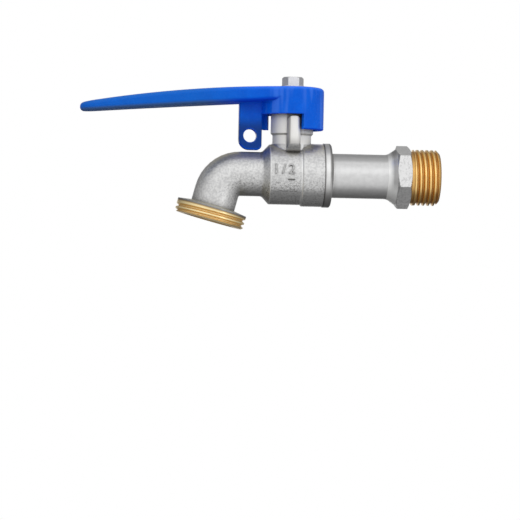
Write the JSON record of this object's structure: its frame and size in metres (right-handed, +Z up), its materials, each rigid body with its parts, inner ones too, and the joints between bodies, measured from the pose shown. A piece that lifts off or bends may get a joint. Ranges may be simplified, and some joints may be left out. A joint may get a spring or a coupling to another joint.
{
  "type": "washing machine tap",
  "caption": "Lever ball tap with a turned-down hose outlet, a screwed inlet tail with a spanner hex, and a blue quarter-turn lever with a padlock ear.",
  "frame": {"origin": "on the pipe axis where the inlet thread starts, beside the hex shoulder", "axes": "+X along the pipe towards the wall fitting, +Z up along the stem, -Y the side with the stop rib"},
  "size_m": [0.1348, 0.0264, 0.0574],
  "materials": {
    "cast_nickel": "satin nickel plate on cast brass, bare brass on the outlet thread",
    "turned_nickel": "satin nickel plate on turned brass, bare brass on the inlet thread",
    "polished_ball": "polished chrome plate",
    "seat_plastic": "white fluoroplastic",
    "stem_brass": "turned brass",
    "lever_paint": "gloss blue paint on a die casting",
    "zinc_steel": "zinc plated steel"
  },
  "bodies": {
    "tap_body": {"valve_body": "cast_nickel", "inlet_tail": "turned_nickel", "outlet_seat": "seat_plastic", "inlet_seat": "seat_plastic", "thrust_washer": "seat_plastic", "packing_ring_lower": "seat_plastic", "packing_ring_upper": "seat_plastic", "gland_nut": "stem_brass"},
    "lever_group": {"lever": "lever_paint", "stem": "stem_brass", "lever_washer": "zinc_steel", "lever_screw": "zinc_steel"},
    "ball_group": {"ball": "polished_ball"}
  },
  "joints": [
    {"name": "lever_turn", "type": "hinge", "parent": "tap_body", "child": "lever_group", "pos_m": [-0.0457, 0, 0], "axis": [0, 0, 1], "range_deg": [0, 90]},
    {"name": "ball_turn", "type": "hinge", "parent": "tap_body", "child": "ball_group", "pos_m": [-0.0457, 0, 0], "axis": [0, 0, 1], "range_deg": [0, 90]}
  ],
  "couplings": [
    {"joint": "ball_turn", "follows": "lever_turn", "ratio": 1}
  ]
}
